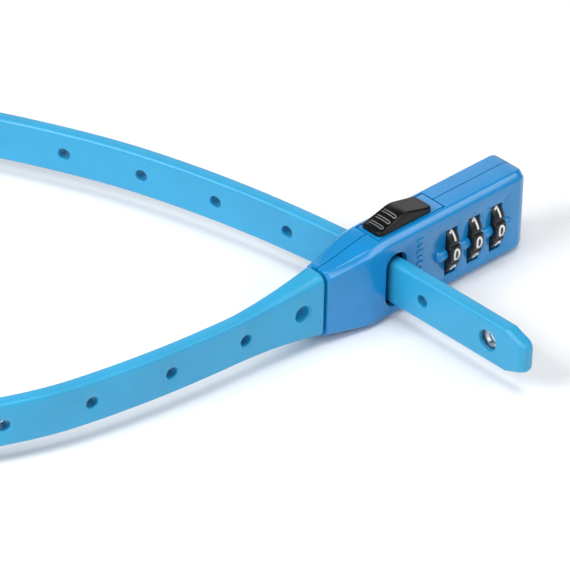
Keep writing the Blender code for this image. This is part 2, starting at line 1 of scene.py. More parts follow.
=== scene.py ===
"""Looks of the three-wheel combination strap lock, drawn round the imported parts.

The casing, slider and its plate, number wheels, strap and return spring get finer shapes that replace the
packed ones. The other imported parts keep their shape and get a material. Shapes are drawn in millimetres in
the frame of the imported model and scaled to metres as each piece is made.
"""

import json
import math

import bmesh
import bpy
import numpy as np
from mathutils import Matrix, Vector

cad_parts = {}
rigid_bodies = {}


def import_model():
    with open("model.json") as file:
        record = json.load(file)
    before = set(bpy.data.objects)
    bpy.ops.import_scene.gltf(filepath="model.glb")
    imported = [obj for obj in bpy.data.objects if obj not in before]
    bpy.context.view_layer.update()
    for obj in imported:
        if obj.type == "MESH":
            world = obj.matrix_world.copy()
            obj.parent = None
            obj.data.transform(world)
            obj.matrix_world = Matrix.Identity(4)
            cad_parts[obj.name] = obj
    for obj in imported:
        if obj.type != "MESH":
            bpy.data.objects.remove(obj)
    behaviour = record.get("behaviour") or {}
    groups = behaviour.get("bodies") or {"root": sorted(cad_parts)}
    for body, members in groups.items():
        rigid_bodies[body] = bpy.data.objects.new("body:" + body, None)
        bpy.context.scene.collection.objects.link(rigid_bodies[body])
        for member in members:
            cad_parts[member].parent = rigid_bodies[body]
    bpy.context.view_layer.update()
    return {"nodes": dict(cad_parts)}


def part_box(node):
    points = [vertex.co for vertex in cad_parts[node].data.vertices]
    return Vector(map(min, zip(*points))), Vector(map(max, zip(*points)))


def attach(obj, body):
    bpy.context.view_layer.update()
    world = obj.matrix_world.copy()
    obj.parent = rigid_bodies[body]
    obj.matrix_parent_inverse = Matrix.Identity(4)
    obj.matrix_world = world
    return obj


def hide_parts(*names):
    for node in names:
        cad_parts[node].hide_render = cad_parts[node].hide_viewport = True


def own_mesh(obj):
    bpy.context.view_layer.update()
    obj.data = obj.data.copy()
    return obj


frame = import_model()

MM = 0.001


def box_mm(node):
    low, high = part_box(node)
    return low / MM, high / MM


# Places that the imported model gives
BACK_LOW, BACK_HIGH = box_mm("back_shell")
SEAM_X, END_X = BACK_LOW.x, BACK_HIGH.x
FACE_Y, HEAD_HEIGHT = BACK_HIGH.y, BACK_HIGH.z
SPLIT_FRONT_Y, SPLIT_BACK_Y = box_mm("front_shell")[1].y, BACK_LOW.y
WHEEL_BOXES = [box_mm(f"number_wheel_{number}") for number in (1, 2, 3)]
WHEEL_XS = [(low.x + high.x) / 2 for low, high in WHEEL_BOXES]
AXIS_Z = (WHEEL_BOXES[0][0].z + WHEEL_BOXES[0][1].z) / 2
WHEEL_RADIUS = (WHEEL_BOXES[0][1].y - WHEEL_BOXES[0][0].y) / 2
WHEEL_HALF_WIDTH = (WHEEL_BOXES[0][1].x - WHEEL_BOXES[0][0].x) / 2
SLIDER_LOW, SLIDER_HIGH = box_mm("release_slider")
TRACK_LOW, TRACK_HIGH = box_mm("slider_track")

# Casing
CHAMFER = 1.3
CHAMFER_SOFTNESS, CORNER_SHARE, CORNER_STEPS = 0.3, 0.45, (0.0, 0.33, 0.67, 1.0)
END_RADIUS, END_FRONT_RADIUS, END_BACK_RADIUS = 3.4, 3.8, 2.0
NECK_FULL_X, NECK_TOP_FULL_X = -17.0, -12.5
NECK_FRONT, NECK_BACK, NECK_BOTTOM_Z, NECK_TOP_Z = 3.2, 3.3, 1.6, 17.0
SLOT_X, SLOT_Z, SLOT_WIDTH, SLOT_HEIGHT = -10.15, 9.15, 5.4, 12.2
SLOT_CORNER, SLOT_LIP = SLOT_WIDTH / 2 - 0.1, 0.35
WINDOW_WIDTH, WINDOW_HEIGHT, WINDOW_CORNER, WINDOW_LIP = 3.16, 10.8, 0.2, 0.12
POCKET_RADIUS = 7.15
MOUTH_REACH_Y, MOUTH_FLARE = 7.0, 1.6
FAR = 60.0

NECK_START, NECK_RINGS, MIDDLE_XS = 0.8, 34, (-4.0, 8.0, 18.0)
END_TURN, END_RINGS = 88.0, 19

# A rim or edge is a row of pairs: a distance from the end, and how far the outline draws in there
CASING_RIM = ((0.0, 0.32), (0.06, 0.16), (0.18, 0.05), (0.36, 0.0))
# A rounded mouth, in shares of its size: a depth, and how far the opening grows there
CASING_MOUTH = ((0.0, 1.0), (0.3, 0.42), (1.0, 0.1), (1.7, 0.0))

# Room inside the casing for the parts it holds, as two opposite corners of each box
GUIDE_ROOM = (-13.75, -3.8, 2.1), (-6.5, 3.8, 16.2)
BOLT_ROOM = (-6.7, -3.0, 5.6), (1.4, 4.55, 13.4)
PIN_ROOM = (-8.2, 2.0, AXIS_Z - 0.9), (-6.4, 4.55, AXIS_Z + 0.9)
LINK_ROOM = (-5.4, -2.7, 13.0), (1.5, 2.7, 18.0)
SPIGOT_ROOM = (SEAM_X - 2, -1.85, AXIS_Z - 5.6), (-16.6, 1.85, AXIS_Z + 5.6)
TRACK_ROOM_GAP, TRACK_ROOM_RISE = 0.28, 1.0
SLEEVE_ROOM_XS, SLEEVE_ROOM_RADIUS = (1.0, 20.9), 2.75
SPRING_ROOM_XS, SPRING_ROOM_RADIUS = (20.5, 25.7), 2.35
DETENT_ROOM_HALF_X, DETENT_ROOM_HALF_Y, DETENT_ROOM_ZS = 1.45, 3.5, (1.15, 3.2)
ANCHOR_ROOM_REACHES, ANCHOR_ROOM_GAP = (2.65, 3.3), 0.1

# Index bar and raised marks
BAR_START_X, BAR_END_X, BAR_RADIUS = 0.6, 22.0, 1.3
BAR_AXIS_DEPTH, BAR_ROOT_DEPTH, BAR_STEPS = 0.3, 0.5, 48
GROOVE_TURN, GROOVE_WIDTH, GROOVE_DEPTH = 20, 5, 0.14
# An end of the bar: a distance from it, and the share of the full radius there
BAR_ROUND_END = ((0.0, 0.3), (0.07, 0.55), (0.25, 0.78), (0.55, 0.93), (0.95, 1.0))
BAR_FLAT_END = ((0.0, 0.95), (0.07, 1.0))
MARK_X, MARK_LOW_Z, MARK_HIGH_Z, MARK_COUNT = -3.8, 8.9, 15.8, 6
MARK_HALF_LENGTHS, MARK_HALF_WIDTH, MARK_CORNER = (0.7, 1.0), 0.3, 0.28
# A mark from its root to its top: a distance from the face, and how far the outline draws in there
MARK_PROFILE = ((0.3, 0.0), (-0.2, 0.0), (-0.27, 0.04), (-0.3, 0.12))

# Slider's plate
TRACK_EDGE = ((0.12, 0.0), (0.03, 0.05), (0.0, 0.14))
TRACK_CORNER = 0.3
TRACK_SLOT = (-4.8, -1.3, 16), (1.1, 1.3, 22)

# Strap
STRAP_WIDTH, STRAP_THICKNESS, STRAP_EDGE = 10.0, 3.3, 0.95
FLARE_REACH, FLARE_FRONT, FLARE_BACK, FLARE_BOTTOM_Z, FLARE_TOP_Z = 21.5, 3.0, 2.85, 2.2, 16.9
SPIGOT_END_X, SPIGOT_WIDTH = -20.0, 10.8
CORE_WIDTH, CORE_THICKNESS, CORE_GAP, CORE_TIP_MARGIN = 7.0, 0.8, 0.15, 4.0
HOLE_PITCH, HOLE_RADIUS, FIRST_HOLE = 18.0, 1.25, 20.3
TIP_HOLE_MARGIN, TIP_HOLE_RADIUS = 9.8, 2.2
MOULD_HOLE, MOULD_HOLE_Z, MOULD_HOLE_RADIUS = 5.1, 9.75, 1.75
TIP_TAPER, TIP_DROP = 5.0, 2.0
ANCHOR_XS, ANCHOR_RADIUS = (-23.6, -18.8), 0.9
STRAP_RIM = ((0.0, 0.3), (0.06, 0.15), (0.18, 0.05), (0.36, 0.0))
STRAP_END = ((0.2, 0.02), (0.08, 0.12), (0.0, 0.3))
STRAP_MOUTH = ((-1.0, 1.5), (0.0, 1.0), (0.25, 0.45), (0.6, 0.15), (1.1, 0.0))
HOLE_MOUTH, WIDE_HOLE_MOUTH, HOLE_CUTTER_REACH = 0.28, 0.32, 6
SPIGOT_OVERLAP = 0.8
ROOT_INSET, ROOT_START, ROOT_END = 0.7, -0.55, 0.5
UPPER_POWER, LOWER_POWER, FLARE_EDGE, EDGE_MARGIN = 1.5, 2.0, 0.8, 0.12
TIP_THINNING, TIP_THIN_REACH = 0.5, 1.3
TIP_STEPS = (0.0, 0.3, 1.2, 2.4, 3.4, 3.8, 4.1, 4.4, 4.7)
FLARE_START, FLARE_OVERRUN, FLARE_RINGS, LOOP_RINGS, CORE_RINGS = 0.9, 2, 30, 260, 150
LINING_REACH, HOLE_LINING, MOULD_LINING = 0.3, 0.12, 0.08
ANCHOR_HOLE_GAP, ANCHOR_CUTTER_REACH = 0.25, 5

# The strap's middle line seen from above, the same points as the part's own. They were worked out from
# the measured places of its holes and a fitted loop, and weren't chosen by hand.
STRAP_ROUTE = (
    (-27.9, 0.0),
    (-33.0, 0.2),
    (-47.2, 1.0),
    (-64.9, 2.6),
    (-82.3, 5.5),
    (-99.1, 10.8),
    (-125.2, 25.5),
    (-143.8, 48.0),
    (-151.3, 77.0),
    (-143.8, 105.0),
    (-122.2, 125.5),
    (-92.5, 131.0),
    (-65.0, 121.5),
    (-43.5, 101.5),
    (-28.8, 74.9),
    (-21.9, 57.7),
    (-16.9, 40.1),
    (-13.3, 22.1),
    (-10.9, 4.1),
    (-10.1, -13.8),
    (-9.85, -41.6),
)


# Materials

# Sockets of a Mix node in its colour mode, whose names its other modes share
MIX_FACTOR, MIX_COLOUR_A, MIX_COLOUR_B, MIX_COLOUR_OUT = 0, 6, 7, 2
# Most of a noise's values lie between these
NOISE_LOW, NOISE_HIGH = 0.3, 0.7
# Shares of open sky at which painted shade in hollows is full and at which it stops
HOLLOW_SKY, OPEN_SKY = 0.3, 0.8
HOLLOW_REACH, SKY_SAMPLES = 2.2, 6


class Nodes:
    """Short ways to add and join shader nodes in one material."""

    def __init__(self, name):
        self.material = bpy.data.materials.new(name)
        self.material.use_nodes = True
        self.tree = self.material.node_tree
        self.shader = self.tree.nodes["Principled BSDF"]
        self.place = self.tree.nodes.new("ShaderNodeTexCoord").outputs["Object"]

    def add(self, kind, **settings):
        node = self.tree.nodes.new(kind)
        for key, value in settings.items():
            setattr(node, key, value)
        return node

    def join(self, output, socket):
        self.tree.links.new(output, socket)

    def noise(self, size_mm, detail=3.0, stretch=None):
        """Noise whose features are about size_mm across, drawn out along an axis if stretch says so."""
        place = self.place
        if stretch:
            mapping = self.add("ShaderNodeMapping")
            mapping.inputs["Scale"].default_value = stretch
            self.join(place, mapping.inputs["Vector"])
            place = mapping.outputs["Vector"]
        noise = self.add("ShaderNodeTexNoise")
        noise.inputs["Scale"].default_value = 1.0 / (size_mm * MM)
        noise.inputs["Detail"].default_value = detail
        self.join(place, noise.inputs["Vector"])
        return noise.outputs["Fac"]

    def ramp(self, factor, stops):
        ramp = self.add("ShaderNodeValToRGB")
        elements = ramp.color_ramp.elements
        for element, (position, colour) in zip(elements, (stops[0], stops[-1])):
            element.position = position
            element.color = (*colour, 1.0)
        for position, colour in stops[1:-1]:
            elements.new(position).color = (*colour, 1.0)
        self.join(factor, ramp.inputs["Fac"])
        return ramp.outputs["Color"]

    def between(self, factor, low, high):
        spread = self.add("ShaderNodeMapRange")
        spread.inputs["From Min"].default_value = NOISE_LOW
        spread.inputs["From Max"].default_value = NOISE_HIGH
        spread.inputs["To Min"].default_value = low
        spread.inputs["To Max"].default_value = high
        self.join(factor, spread.inputs["Value"])
        return spread.outputs["Result"]

    def bump(self, height, depth_mm, strength=1.0):
        bump = self.add("ShaderNodeBump")
        bump.inputs["Distance"].default_value = depth_mm * MM
        bump.inputs["Strength"].default_value = strength
        self.join(height, bump.inputs["Height"])
        self.join(bump.outputs["Normal"], self.shader.inputs["Normal"])

    def darken_hollows(self, colours, painted_shade_colour):
        """Paints shade into the colour where the surface lies in a hole or a gap and sees little open sky.
        """
        hollow = self.add("ShaderNodeAmbientOcclusion", samples=SKY_SAMPLES)
        hollow.inputs["Distance"].default_value = HOLLOW_REACH * MM
        share = self.add("ShaderNodeMapRange")
        share.inputs["From Min"].default_value = HOLLOW_SKY
        share.inputs["From Max"].default_value = OPEN_SKY
        self.join(hollow.outputs["AO"], share.inputs["Value"])
        mix = self.add("ShaderNodeMix", data_type="RGBA")
        self.join(share.outputs["Result"], mix.inputs[MIX_FACTOR])
        self.join(colours, mix.inputs[MIX_COLOUR_B])
        mix.inputs[MIX_COLOUR_A].default_value = (*painted_shade_colour, 1.0)
        return mix.outputs[MIX_COLOUR_OUT]

    def fix(self, **values):
        for name, value in values.items():
            self.shader.inputs[name.replace("_", " ")].default_value = value


def shade(colour, factor):
    return tuple(min(channel * factor, 1.0) for channel in colour)


def cloud_stops(colour, darker, lighter):
    """A ramp's stops for a colour that wanders between a darker and a lighter shade of itself."""
    return ((NOISE_LOW, shade(colour, darker)), (NOISE_HIGH, shade(colour, lighter)))


def plastic(
    name,
    colour,
    roughness,
    coat,
    cloud_mm,
    grain_mm,
    grain_depth_mm,
    cloud=0.06,
    specular=0.5,
    painted_shade_colour=None,
):
    """Moulded plastic: faint clouds of colour, a fine grain, a gloss that wanders a little, and painted
    shade in holes and gaps where a shade colour is given.
    """
    nodes = Nodes(name)
    clouds = nodes.noise(cloud_mm, 4.0)
    colours = nodes.ramp(clouds, cloud_stops(colour, 1 - cloud, 1 + cloud))
    # Painted shade: the colour turns to a dark shade colour in holes and gaps
    if painted_shade_colour:
        colours = nodes.darken_hollows(colours, painted_shade_colour)
    nodes.join(colours, nodes.shader.inputs["Base Color"])
    grain = nodes.noise(grain_mm, 3.0)
    nodes.join(nodes.between(grain, roughness * 0.85, roughness * 1.15), nodes.shader.inputs["Roughness"])
    nodes.bump(grain, grain_depth_mm)
    nodes.fix(Coat_Weight=coat, Coat_Roughness=0.05, Specular_IOR_Level=specular)
    return nodes.material


def metal(name, colour, roughness, stretch=None, grain_mm=0.15, grain_depth_mm=0.004):
    """Metal with a fine grain, drawn out into brush lines where stretch says so."""
    nodes = Nodes(name)
    clouds = nodes.noise(2.5, 3.0)
    colours = nodes.ramp(clouds, cloud_stops(colour, 0.9, 1.08))
    nodes.join(colours, nodes.shader.inputs["Base Color"])
    grain = nodes.noise(grain_mm, 2.0, stretch)
    nodes.join(nodes.between(grain, roughness * 0.7, roughness * 1.3), nodes.shader.inputs["Roughness"])
    nodes.bump(grain, grain_depth_mm)
    nodes.fix(Metallic=1.0)
    return nodes.material


CASING = plastic(
    "casing_plastic",
    (0.004, 0.235, 0.56),
    roughness=0.24,
    coat=0.35,
    cloud_mm=9.0,
    grain_mm=0.5,
    grain_depth_mm=0.0003,
    specular=0.4,
)
# The strap's colour carries painted shade, dark navy in its holes and in the gap at the seam
STRAP = plastic(
    "strap_plastic",
    (0.02, 0.335, 0.595),
    roughness=0.4,
    coat=0.1,
    cloud_mm=14.0,
    grain_mm=0.4,
    grain_depth_mm=0.002,
    painted_shade_colour=(0.0, 0.05, 0.17),
)
BLACK = plastic(
    "black_plastic",
    (0.0035, 0.0035, 0.004),
    roughness=0.25,
    coat=0.0,
    cloud_mm=5.0,
    grain_mm=0.25,
    grain_depth_mm=0.0015,
    cloud=0.2,
    specular=0.28,
)
# Painted highlight: the grip ribs are coloured light grey to stand for the highlights along them on black
# plastic
RIB_PLASTIC_PAINTED_HIGHLIGHT = plastic(
    "rib_plastic_painted_highlight",
    (0.16, 0.16, 0.165),
    roughness=0.25,
    coat=0.5,
    cloud_mm=2.0,
    grain_mm=0.2,
    grain_depth_mm=0.002,
    cloud=0.3,
)
WHEEL = plastic(
    "wheel_plastic",
    (0.008, 0.008, 0.009),
    roughness=0.4,
    coat=0.1,
    cloud_mm=3.0,
    grain_mm=0.2,
    grain_depth_mm=0.003,
    cloud=0.2,
)
PAINT = plastic(
    "digit_paint",
    (0.80, 0.80, 0.78),
    roughness=0.5,
    coat=0.0,
    cloud_mm=0.8,
    grain_mm=0.12,
    grain_depth_mm=0.004,
    cloud=0.04,
)
STEEL = metal("core_steel", (0.62, 0.62, 0.63), roughness=0.3, stretch=(1.0, 1.0, 12.0))
ZINC = metal("zinc_casting", (0.50, 0.51, 0.53), roughness=0.5, grain_mm=0.3, grain_depth_mm=0.012)
SPRING = metal("spring_steel", (0.42, 0.42, 0.44), roughness=0.32, stretch=(12.0, 1.0, 1.0))


# Mesh helpers


def add_loft(bm, rings):
    """A closed solid through rings that all have the same number of points."""
    loops = [[bm.verts.new(point) for point in ring] for ring in rings]
    for first, second in zip(loops, loops[1:]):
        for index in range(len(first)):
            following = (index + 1) % len(first)
            bm.faces.new((first[index], first[following], second[following], second[index]))
    bm.faces.new(reversed(loops[0]))
    bm.faces.new(loops[-1])
    bmesh.ops.recalc_face_normals(bm, faces=bm.faces)


def add_box(bm, low, high):
    low, high = Vector(low), Vector(high)
    matrix = Matrix.Translation((low + high) / 2) @ Matrix.Diagonal((*(high - low), 1.0))
    bmesh.ops.create_cube(bm, size=1.0, matrix=matrix)


def add_lathe(bm, start, end, profile, sides):
    """A turned solid: profile gives (distance from start, radius) along the line from start to end."""
    start, end = Vector(start), Vector(end)
    turn = (end - start).to_track_quat("Z", "Y").to_matrix()
    rings = []
    for distance, radius in profile:
        ring = []
        for side in range(sides):
            angle = 2 * math.pi * side / sides
            place = Vector((radius * math.cos(angle), radius * math.sin(angle), distance))
            ring.append(start + turn @ place)
        rings.append(ring)
    add_loft(bm, rings)


def draw_box(low, high):
    return lambda bm: add_box(bm, low, high)


def draw_rod(start, end, radius, sides=32):
    length = (Vector(end) - Vector(start)).length
    return lambda bm: add_lathe(bm, start, end, ((0.0, radius), (length, radius)), sides)


def along_x(start_x, end_x, radius, sides=64):
    return draw_rod((start_x, 0, AXIS_Z), (end_x, 0, AXIS_Z), radius, sides)


def rounded_rectangle(half_a, half_b, radius, corner_steps):
    points = []
    for quarter, (sign_a, sign_b) in enumerate(((1, 1), (-1, 1), (-1, -1), (1, -1))):
        for step in range(corner_steps + 1):
            angle = math.pi / 2 * (quarter + step / corner_steps)
            a = sign_a * (half_a - radius) + radius * math.cos(angle)
            b = sign_b * (half_b - radius) + radius * math.sin(angle)
            points.append((a, b))
    return points


def new_mesh(name, draw_calls):
    bm = bmesh.new()
    for draw in draw_calls:
        draw(bm)
    bmesh.ops.scale(bm, verts=bm.verts, vec=(MM, MM, MM))
    mesh = bpy.data.meshes.new(name)
    bm.to_mesh(mesh)
    bm.free()
    obj = bpy.data.objects.new(name, mesh)
    bpy.context.scene.collection.objects.link(obj)
    return obj


def apply_modifiers(obj):
    bpy.context.view_layer.update()
    graph = bpy.context.evaluated_depsgraph_get()
    mesh = bpy.data.meshes.new_from_object(obj.evaluated_get(graph))
    obj.modifiers.clear()
    obj.data = mesh


def combine(obj, draw_calls, operation="DIFFERENCE"):
    """Cuts from obj, or joins to it, every solid that the draw calls make."""
    group = bpy.data.collections.new(f"{obj.name}_tools")
    bpy.context.scene.collection.children.link(group)
    for number, draw in enumerate(draw_calls):
        tool = new_mesh(f"{obj.name}_tool_{number}", [draw])
        bpy.context.scene.collection.objects.unlink(tool)
        group.objects.link(tool)
    modifier = obj.modifiers.new("combine", "BOOLEAN")
    modifier.operation = operation
    modifier.operand_type = "COLLECTION"
    modifier.collection = group
    modifier.solver = "EXACT"
    apply_modifiers(obj)
    for tool in list(group.objects):
        bpy.data.objects.remove(tool, do_unlink=True)
    bpy.data.collections.remove(group)


def finish_piece(obj, material, body, stands_for=(), sharp=30):
    obj.data.materials.clear()
    obj.data.materials.append(material)
    obj.data.shade_smooth()
    obj.data.set_sharp_from_angle(angle=math.radians(sharp))
    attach(obj, body)
    if stands_for:
        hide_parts(*stands_for)
    return obj


def smoothstep(value):
    t = min(max(value, 0.0), 1.0)
    return t * t * (3 - 2 * t)


# Casing


def rounding(x, radius):
    into_end = max(x - (END_X - radius), 0.0)
    return radius - math.sqrt(max(radius**2 - into_end**2, 0.0))


def soft_corners(corners, reach):
    """Each corner of a closed outline turned into a short curve of four points."""
    points = []
    for index, corner in enumerate(corners):
        before = Vector(corners[index - 1]) - Vector(corner)
        after = Vector(corners[(index + 1) % len(corners)]) - Vector(corner)
        start = Vector(corner) + before.normalized() * min(reach, before.length * CORNER_SHARE)
        end = Vector(corner) + after.normalized() * min(reach, after.length * CORNER_SHARE)
        for t in CORNER_STEPS:
            point = start * (1 - t) ** 2 + Vector(corner) * 2 * t * (1 - t) + end * t**2
            points.append((point.x, point.y))
    return points


def neck_share(x):
    """0 at the seam and 1 on the plain head, with the bend between them eased over a millimetre."""
    share = (x - SEAM_X) / (NECK_FULL_X - SEAM_X)
    ease = 0.06
    return 0.5 * (share + 1 - math.sqrt((share - 1) ** 2 + ease**2))


def casing_ring(x, inset=0.0):
    t = neck_share(x)
    front = NECK_FRONT + t * (FACE_Y - NECK_FRONT) - rounding(x, END_FRONT_RADIUS) - inset
    back = NECK_BACK + t * (FACE_Y - NECK_BACK) - rounding(x, END_BACK_RADIUS) - inset
    bottom = NECK_BOTTOM_Z * (1 - t) + rounding(x, END_RADIUS) + inset
    swell = smoothstep((x - SEAM_X) / (NECK_TOP_FULL_X - SEAM_X))
    top = NECK_TOP_Z + swell * (HEAD_HEIGHT - NECK_TOP_Z) - rounding(x, END_RADIUS) - inset
    c = CHAMFER
    corners = [(back - c, top), (back, top - c), (back, bottom + c), (back - c, bottom)]
    corners += [(c - front, bottom), (-front, bottom + c), (-front, top - c), (c - front, top)]
    return [(x, y, z) for y, z in soft_corners(corners, CHAMFER_SOFTNESS)]


def draw_casing(bm):
    rim = [casing_ring(SEAM_X + step, inset) for step, inset in CASING_RIM]
    neck = [casing_ring(x) for x in np.linspace(SEAM_X + NECK_START, NECK_TOP_FULL_X, NECK_RINGS)]
    middle = [casing_ring(x) for x in MIDDLE_XS]
    turns = [math.radians(angle) for angle in np.linspace(0.0, END_TURN, END_RINGS)]
    end = [casing_ring(END_X - END_FRONT_RADIUS + END_FRONT_RADIUS * math.sin(turn)) for turn in turns]
    add_loft(bm, rim + neck + middle + end)


def draw_opening(x, z, width, height, corner, lip):
    """A cutter along Y whose mouths open out at the head's faces, so that the edges come out rounded."""

    def draw(bm):
        mouth = [(-MOUTH_REACH_Y, MOUTH_FLARE * lip)]
        mouth += [(depth * lip - FACE_Y, grow * lip) for depth, grow in CASING_MOUTH]
        mouth += [(-y, grow) for y, grow in reversed(mouth)]
        loft = []
        for y, grow in mouth:
            outline = rounded_rectangle(width / 2 + grow, height / 2 + grow, corner + grow, 8)
            loft.append([(x + a, y, z + b) for a, b in outline])
        add_loft(bm, loft)

    return draw


def casing_cuts():
    """Everything that is cut from the solid casing, as functions that each draw one cutter."""
    gap = Vector((TRACK_ROOM_GAP, TRACK_ROOM_GAP, TRACK_ROOM_GAP))
    rise = Vector((TRACK_ROOM_GAP, TRACK_ROOM_GAP, TRACK_ROOM_RISE))
    calls = [
        draw_opening(SLOT_X, SLOT_Z, SLOT_WIDTH, SLOT_HEIGHT, SLOT_CORNER, SLOT_LIP),
        draw_box(*GUIDE_ROOM),
        draw_box(*BOLT_ROOM),
        draw_box(*PIN_ROOM),
        draw_box(*LINK_ROOM),
        draw_box(TRACK_LOW - gap, TRACK_HIGH + rise),
        draw_box(*SPIGOT_ROOM),
        along_x(*SLEEVE_ROOM_XS, SLEEVE_ROOM_RADIUS, 32),
        along_x(*SPRING_ROOM_XS, SPRING_ROOM_RADIUS, 32),
    ]
    for x, reach in zip(ANCHOR_XS, ANCHOR_ROOM_REACHES):
        calls.append(draw_rod((x, -reach, AXIS_Z), (x, reach, AXIS_Z), ANCHOR_RADIUS + ANCHOR_ROOM_GAP, 16))
    low_z, high_z = DETENT_ROOM_ZS
    for x in WHEEL_XS:
        calls.append(along_x(x - WINDOW_WIDTH / 2, x + WINDOW_WIDTH / 2, POCKET_RADIUS, 96))
        calls.append(draw_opening(x, AXIS_Z, WINDOW_WIDTH, WINDOW_HEIGHT, WINDOW_CORNER, WINDOW_LIP))
        low = (x - DETENT_ROOM_HALF_X, -DETENT_ROOM_HALF_Y, low_z)
        high = (x + DETENT_ROOM_HALF_X, DETENT_ROOM_HALF_Y, high_z)
        calls.append(draw_box(low, high))
    return calls


def make_casing():
    halves = (
        ("casing_front", "front_shell", (SPLIT_FRONT_Y, FAR)),
        ("casing_back", "back_shell", (-FAR, SPLIT_BACK_Y)),
    )
    for name, node, (low, high) in halves:
        shell = new_mesh(name, [draw_casing])
        combine(shell, [draw_box((-FAR, low, -FAR), (FAR, high, FAR))])
        combine(shell, casing_cuts())
        finish_piece(shell, CASING, "head_and_strap", [node])


def bar_ring(x, scale):
    """Half a round bar that stands out of the front face, with two fine grooves along it."""
    y, radius = -FACE_Y + BAR_AXIS_DEPTH, BAR_RADIUS * scale
    points = []
    for step in range(BAR_STEPS + 1):
        turn = -90 + 180 * step / BAR_STEPS
        angle = math.radians(turn)
        upper = math.exp(-(((turn - GROOVE_TURN) / GROOVE_WIDTH) ** 2))
        lower = math.exp(-(((turn + GROOVE_TURN) / GROOVE_WIDTH) ** 2))
        reach = radius - GROOVE_DEPTH * scale * (upper + lower)
        points.append((x, y - reach * math.cos(angle), AXIS_Z + reach * math.sin(angle)))
    root = y + BAR_ROOT_DEPTH
    return points + [(x, root, AXIS_Z + radius), (x, root, AXIS_Z - radius)]


def make_index_bar():
    """The bar beside and between the windows, whose line the chosen digits stand on."""
    half = WINDOW_WIDTH / 2 + 0.1
    starts = [BAR_START_X] + [x + half for x in WHEEL_XS]
    ends = [x - half for x in WHEEL_XS] + [BAR_END_X]
    last = len(WHEEL_XS)

    def draw(bm):
        for number, (start, end) in enumerate(zip(starts, ends)):
            left = BAR_ROUND_END if number == 0 else BAR_FLAT_END
            right = BAR_ROUND_END if number == last else BAR_FLAT_END
            rings = [bar_ring(start + step, scale) for step, scale in left]
            rings += [bar_ring(end - step, scale) for step, scale in reversed(right)]
            add_loft(bm, rings)

    finish_piece(new_mesh("index_bar", [draw]), CASING, "head_and_strap", sharp=50)


def make_marks():
    """A plain column of raised bars beside the windows."""
    zs = np.linspace(MARK_LOW_Z, MARK_HIGH_Z, MARK_COUNT)

    def draw(bm):
        for number, z in enumerate(zs):
            half_length = MARK_HALF_LENGTHS[number % 2]
            rings = []
            for y, inset in MARK_PROFILE:
                halves = half_length - inset, MARK_HALF_WIDTH - inset
                outline = rounded_rectangle(*halves, MARK_CORNER - inset, 5)
                rings.append([(MARK_X + a, y - FACE_Y, z + b) for a, b in outline])
            add_loft(bm, rings)

    finish_piece(new_mesh("raised_marks", [draw]), CASING, "head_and_strap")


def make_track():
    """The blue plate under the slider, with a softened edge."""

    middle = (TRACK_LOW + TRACK_HIGH) / 2
    half = (TRACK_HIGH - TRACK_LOW) / 2
    levels = [(TRACK_LOW.z, 0.0)] + [(TRACK_HIGH.z - drop, inset) for drop, inset in TRACK_EDGE]

    def draw(bm):
        rings = []
        for z, inset in levels:
            outline = rounded_rectangle(half.x - inset, half.y - inset, TRACK_CORNER - inset, 4)
            rings.append([(middle.x + a, middle.y + b, z) for a, b in outline])
        add_loft(bm, rings)

    plate = new_mesh("track_plate", [draw])
    combine(plate, [draw_box(*TRACK_SLOT)])
    finish_piece(plate, CASING, "head_and_strap", ["slider_track"])


# Slider

# Distance from the slider's front end and height above the head, chosen to follow measured points
SLIDER_PROFILE = (
    (0.0, 0.85),
    (1.3, 1.12),
    (3.0, 1.55),
    (4.6, 2.06),
    (6.0, 2.53),
    (7.0, 2.72),
    (8.0, 2.66),
    (9.6, 2.24),
    (11.8, 1.66),
    (14.0, 1.16),
    (14.9, 0.98),
)
SLIDER_SMOOTHING = (-1.1, -0.55, 0.55, 1.1)
SLIDER_MIDDLE_X = (SLIDER_LOW.x + SLIDER_HIGH.x) / 2
SLIDER_HALF_LENGTH = (SLIDER_HIGH.x - SLIDER_LOW.x) / 2
SLIDER_HALF_WIDTH = (SLIDER_HIGH.y - SLIDER_LOW.y) / 2
SLIDER_CORNER, SLIDER_LEAN, SLIDER_EDGE, SLIDER_LIFT = 1.25, 0.16, 0.42, 0.15
SLIDER_SOCKET = (-4.65, -1.15, 18), (-1.55, 1.15, HEAD_HEIGHT + 1.2)
CROWN_HALF_WIDTH, RAMP_CROWN, TOP_CROWN = 2.4, 0.2, 0.03
RAMP_START_EASE, RAMP_END, RAMP_END_EASE = 2.0, 8.0, 3.0

# Grip ribs: the half gap between a rib's two sides, and where its sides and bend lie across the slider
RIB_XS, RIB_RADIUS, RIB_HALF_GAP, RIB_LIFT = (-11.35, -9.55, -7.8), 0.13, 0.3, 0.02
RIB_START_Y, RIB_RETURN_Y, RIB_STEP, RIB_STEPS, RIB_SIDES = 1.75, -1.5, 0.25, 14, 10
RIB_BEND_Y, RIB_BEND_TURNS, RIB_BEND_STEPS = -1.62, (0.3, 2.84), 7


def slider_top(x, y):
    """Height above the head of the slider's top, which falls away a little to both sides."""
    along = x - SLIDER_LOW.x
    across = min(abs(y) / CROWN_HALF_WIDTH, 1.0)
    height = np.interp(along, *zip(*SLIDER_PROFILE))
    nearby = [np.interp(along + step, *zip(*SLIDER_PROFILE)) for step in SLIDER_SMOOTHING]
    height = (height + sum(nearby)) / 5
    ramp = smoothstep(along / RAMP_START_EASE) * smoothstep((RAMP_END - along) / RAMP_END_EASE)
    return height - RAMP_CROWN * ramp * across**2 - TOP_CROWN * across**2


